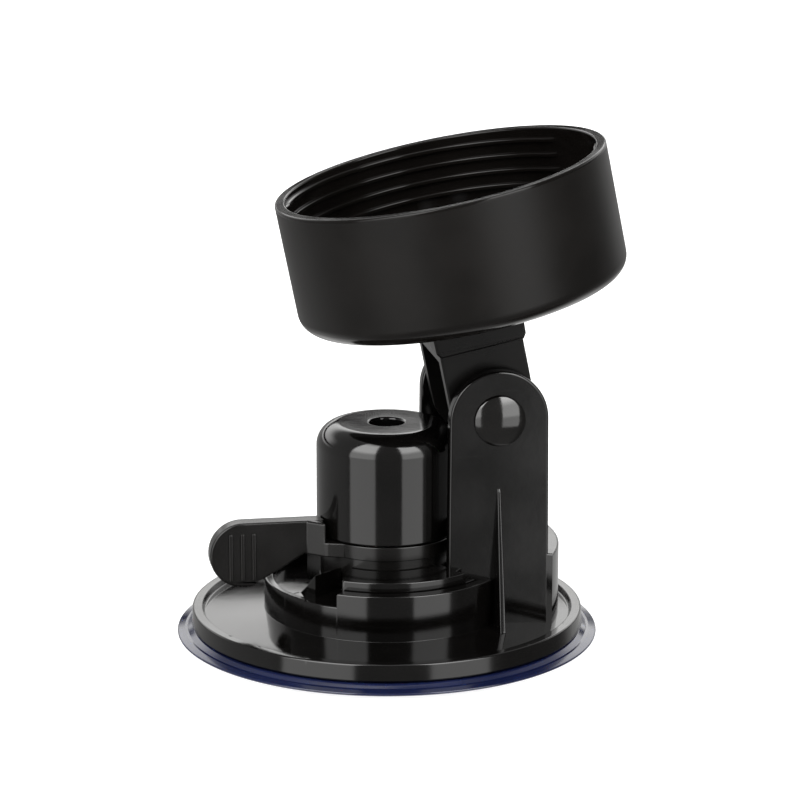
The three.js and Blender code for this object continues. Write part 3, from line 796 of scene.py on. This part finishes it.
def pivot_nut(y0, y1):
    """A lock nut: a hexagon with turned corners and a round collar."""
    corner, flat_r, collar_r = 8 / math.sqrt(3), 4.0, 3.5
    hexagon = slab([polar(corner, 60 * k) for k in range(6)], y0, y1, 0)
    turned = lathe([
        (0, y0), (flat_r, y0), (corner + 0.05, y0 + 0.4), (corner + 0.05, y1 - 0.4), (flat_r, y1), (0, y1),
    ], 96)
    collar = lathe(fillet([
        (0, y1 - 0.2, 0), (collar_r, y1 - 0.2, 0), (collar_r, y1 + 1, 0.35), (0, y1 + 1, 0),
    ]), 96)
    body = union(boolean(hexagon, "INTERSECT", turned), collar)
    return along_y(cut(body, ring(0, BOLT_R + GAP, y0 - 1, y1 + 2, segments=64)))


def spring_washer(y0, y1):
    """A washer with a slanting slit above the bolt."""
    x, z = PIVOT[0], PIVOT[2]
    slit = [(x - 0.4, z), (x + 0.4, z), (x + 0.7, z + 9), (x - 0.1, z + 9)]
    return cut(washer(4.6, y0, y1, 0.12), slab(slit, y0 - 1, y1 + 1, 0, "y"))


# ---- cup, in its own frame ---------------------------------------------------------------------
SCREWS = [(sx * 6 - CUP_OFFSET, sy * 9) for sx, sy in ((-1, -1), (1, -1), (1, 1), (-1, 1))]


def ridge(r, start, end, z, pitch):
    """One thread ridge inside the cup, which dies away at both ends. A point of its section is how far
    it stands off the wall, and its height. The first and the last are inside the wall."""
    steps = max(16, int((end - start) / 1.5))
    section = (
        (0.1, -0.56), (0.7, -0.44), (0.8, -0.32), (0.8, 0.18),
        (0.74, 0.32), (0.6, 0.44), (0.4, 0.52), (0.1, 0.56),
    )
    sections = []
    for k in range(steps + 1):
        share = k / steps
        deg = start + (end - start) * share
        rise = min(1.0, 0.15 + 30 * min(share, 1 - share))
        h = z + pitch * (deg - start) / 360
        c, s = polar(1, deg)
        profile = [(r + 0.5, h - 0.62), *((r - d * rise, h + up) for d, up in section), (r + 0.5, h + 0.62)]
        sections.append([(q * c, q * s, t) for q, t in profile])
    return loops(sections)


def cup_shell():
    """The cup: a turned bowl with an interrupted thread, and four screw holes in its floor."""
    inner, floor_top = CUP_R - CUP_WALL, FLOOR_Z + CUP_FLOOR
    shell = lathe(fillet([
        (0, FLOOR_Z, 0), (CUP_R, FLOOR_Z, 3.6), (CUP_R, CUP_RIM - 6, 0), (CUP_R, CUP_RIM, 0.45),
        (inner, CUP_RIM, 0.4), (inner, floor_top, 1.8), (0, floor_top, 0),
    ], 12), 256)
    rows = [
        ridge(inner, a, b, CUP_RIM - THREAD_FIRST - THREAD_PITCH * row, THREAD_PITCH)
        for row in range(THREAD_ROWS) for a, b in THREAD_SPANS
    ]
    holes = [shifted(ring(0, 1.8, FLOOR_Z - 1, floor_top + 1, segments=48), x, y) for x, y in SCREWS]
    return moved(shifted(cut(union(shell, joined(rows)), joined(holes)), CUP_OFFSET), CUP_FRAME)


def cup_knuckle():
    """What joins the cup to the bolt: a collar under the cup, two cheeks, a web between, and a hub."""
    top, half, cheek_r = FLOOR_Z - GAP, 9, 8.9
    collar = slab(fillet([
        (-9.9, top, 0.3), (9.9, top, 0.3), (9.7, 16, 0.4), (half, 14.9, 0.3), (-half, 14.9, 0.3),
        (-9.7, 16, 0.4),
    ]), -13.4, 13.4, 0.5, "y", 4)
    cheek = [(half, 16), (-half, 16), (-half, 3)] + arc(0, 0, cheek_r, 180, 360, 48) + [(half, 3)]
    arm = slab(cheek, -KNUCKLE_Y, KNUCKLE_Y, 0.45, "y", 4)
    hollow = block((-12, 12), (3 - KNUCKLE_Y, KNUCKLE_Y - 3), (-12, 13.4), 0.2, 0.2)
    web = slab([(-1.6, 2), (1.6, 2), (1.6, 15), (-1.6, 15)], 2.5 - KNUCKLE_Y, KNUCKLE_Y - 2.5, 0, "y")
    hub = along_y(ring(0, 6, 2 - KNUCKLE_Y, KNUCKLE_Y - 2, segments=96), 0, 0)
    bore = along_y(ring(0, BUSH_R + GAP, -20, 20, segments=96), 0, 0)
    pilots = [shifted(ring(0, 1.5, 17, top + 1, segments=32), x + CUP_OFFSET, y) for x, y in SCREWS]
    body = union(cut(arm, hollow), web, hub, collar)
    return moved(cut(body, bore, joined(pilots)), CUP_FRAME)


def pivot_bush():
    bush = ring(BOLT_R + GAP, BUSH_R, -KNUCKLE_Y, KNUCKLE_Y, 0.15, 96)
    return moved(along_y(bush, 0, 0), CUP_FRAME)


# ---- the pieces --------------------------------------------------------------------------------
piece("suction_cup", suction_cup(), navy)
piece("base_housing", base_housing(), gloss)
piece("stem_post", stem_post(), acetal)
piece("tower_cap", tower_cap(), gloss_cap)
piece("thrust_washer", ring(7.2, 11.8, ROTOR_Z[1] + GAP, ROTOR_Z[1] + 1.5, 0.1), acetal)
head_z = HEAD_SEAT_Z + GAP
piece("screw_washer", ring(2, 3.4, head_z, head_z + 0.6, 0.1, 96), zinc_flat)
stem_screw = pan_screw(shank=1.6, head=3.3, height=2.2, length=15, recess=3.4)
piece("stem_screw", shifted(stem_screw, z=head_z + 0.6 + GAP), zinc_flat)
piece("lever_rotor", lever_rotor(), lever_black)
piece("pivot_bolt", pivot_bolt(), black_steel)
far_y = EAR_OUT + GAP
piece("pivot_washer", washer(5.5, far_y, far_y + 1), zinc)
piece("pivot_spring_washer", spring_washer(far_y + 1.3, far_y + 2.5), zinc)
piece("pivot_nut", pivot_nut(far_y + 2.8, far_y + 6.7), zinc)
friction_y = KNUCKLE_Y + GAP, EAR_OUT - EAR_T - GAP
piece("friction_washer_near", washer(7.4, -friction_y[1], -friction_y[0]), acetal)
piece("friction_washer_far", washer(7.4, friction_y[0], friction_y[1]), acetal)
piece("pivot_bush", pivot_bush(), acetal)
piece("cup_knuckle", cup_knuckle(), satin)
piece("cup_shell", cup_shell(), gloss_cup)
for number, (screw_x, screw_y) in enumerate(SCREWS, 1):
    screw = pan_screw(shank=1.2, head=2.8, height=1.8, length=8.6, recess=3)
    screw = shifted(screw, screw_x + CUP_OFFSET, screw_y, FLOOR_Z + CUP_FLOOR + GAP)
    piece(f"cup_screw_{number}", moved(screw, CUP_FRAME), zinc_flat)


# ---- floor, light and camera ---------------------------------------------------------------------
CAMERA_AT = Vector((-0.11744, -0.63332, 0.21429))
LOOKS_AT = Vector((0, 0, 0.060))
LENS, SHIFT = 141.0, (0.0166, -0.0493)


def pale_floor():
    """A wide pale table top just under the suction cup. The gloss doesn't reflect it."""
    reach, drop, count = 4.5, 0.0002, 64
    rim = [(*polar(reach, 360 * k / count), -drop) for k in range(count)]
    mesh = bpy.data.meshes.new("floor")
    mesh.from_pydata(rim, [], [range(count)])
    floor = bpy.data.objects.new("floor", mesh)
    bpy.context.scene.collection.objects.link(floor)
    glow = {"Emission_Color": (1, 1, 1, 1), "Emission_Strength": 0.9}
    mat, shader, nodes, where = material("pale_floor", Roughness=0.9, **glow)
    tone = nodes.ramp(nodes.noise(where, 3.0), 0.3, 0.7)
    colour = nodes.mix(tone, (0.38, 0.38, 0.38, 1), (0.42, 0.42, 0.42, 1))
    nodes.tree.links.new(colour, shader.inputs["Base Color"])
    mesh.materials.append(mat)
    floor.visible_glossy = False


def studio():
    """What the gloss reflects: a dim room with two tall softboxes in front, a bright strip and a bright
    wall behind, a pale table and a pale ceiling. Its angles are in degrees: a turn is 0 at the camera
    and grows to its right, and a height is 0 on the level."""
    world = bpy.data.worlds.new("studio")
    bpy.context.scene.world = world
    world.use_nodes = True
    nodes = Nodes(world.node_tree)
    x, y, z = nodes.split(nodes.add("ShaderNodeTexCoord", out=0))
    front = math.atan2(CAMERA_AT.y, CAMERA_AT.x)
    from_front = nodes.math("SUBTRACT", nodes.math("ARCTAN2", y, x), front)
    turn = nodes.math("WRAP", from_front, math.pi, -math.pi)
    height = nodes.math("ARCSINE", z)

    def rise(value, start, full):
        """From 0 at start to 1 at full."""
        return nodes.ramp(value, rad(start), rad(full))

    def band(value, low, high, soft=1.3):
        fall = nodes.ramp(value, rad(high - soft), rad(high + soft), 1.0, 0.0)
        return nodes.math("MULTIPLY", rise(value, low - soft, low + soft), fall)

    def both(a, b):
        return nodes.math("MULTIPLY", a, b)

    boxes = nodes.math("ADD", band(turn, -62, -18.5), band(turn, 25, 61))
    behind = rise(nodes.math("ABSOLUTE", turn), 98, 128)
    wall = both(rise(height, 14.9, 16.4), rise(height, 38, 24))
    lights = (
        # The left side, the right side and the far right, at every height.
        (band(turn, -180, -66, 6), 0.16),
        (band(turn, 66, 124, 8), -0.12),
        (band(turn, 132, 190, 8), 0.35),
        # Behind: a bright strip, a dark one over it, the wall, and the far part of the table.
        (both(behind, band(height, 7.4, 10.6, 1.8)), 1.8),
        (both(behind, band(height, 11.5, 16, 1.5)), -0.6),
        (both(behind, wall), 2.0),
        (both(behind, rise(height, -22, -40)), 1.3),
        # The near part of the table.
        (rise(height, -58, -74), 1.3),
        # The softboxes, which are brighter upwards.
        (both(boxes, rise(height, -25.5, -20.5)), 1.75),
        (both(boxes, band(height, -4, 64, 3)), 1.5),
        (both(boxes, band(height, 24, 64, 9)), 4.2),
        # The ceiling.
        (rise(height, 60, 80), 1.2),
    )
    light, backdrop = 0.24, 1.05
    for share, level in lights:
        light = nodes.math("MULTIPLY_ADD", share, level, light)
    seen = nodes.add("ShaderNodeLightPath", out=0)
    reflected = both(nodes.math("SUBTRACT", 1.0, seen), light)
    strength = nodes.math("ADD", reflected, both(seen, backdrop))
    back = world.node_tree.nodes["Background"]
    back.inputs["Color"].default_value = (1, 0.995, 0.985, 1)
    world.node_tree.links.new(strength, back.inputs["Strength"])
    bpy.context.scene.view_settings.view_transform = "Standard"


def camera():
    data = bpy.data.cameras.new("camera")
    cam = bpy.data.objects.new("camera", data)
    bpy.context.scene.collection.objects.link(cam)
    cam.location = CAMERA_AT
    cam.rotation_euler = (LOOKS_AT - CAMERA_AT).to_track_quat("-Z", "Y").to_euler()
    data.lens, data.sensor_width = LENS, 36
    data.shift_x, data.shift_y = SHIFT
    data.clip_start, data.clip_end = 0.01, 20
    bpy.context.scene.camera = cam


pale_floor()
studio()
camera()
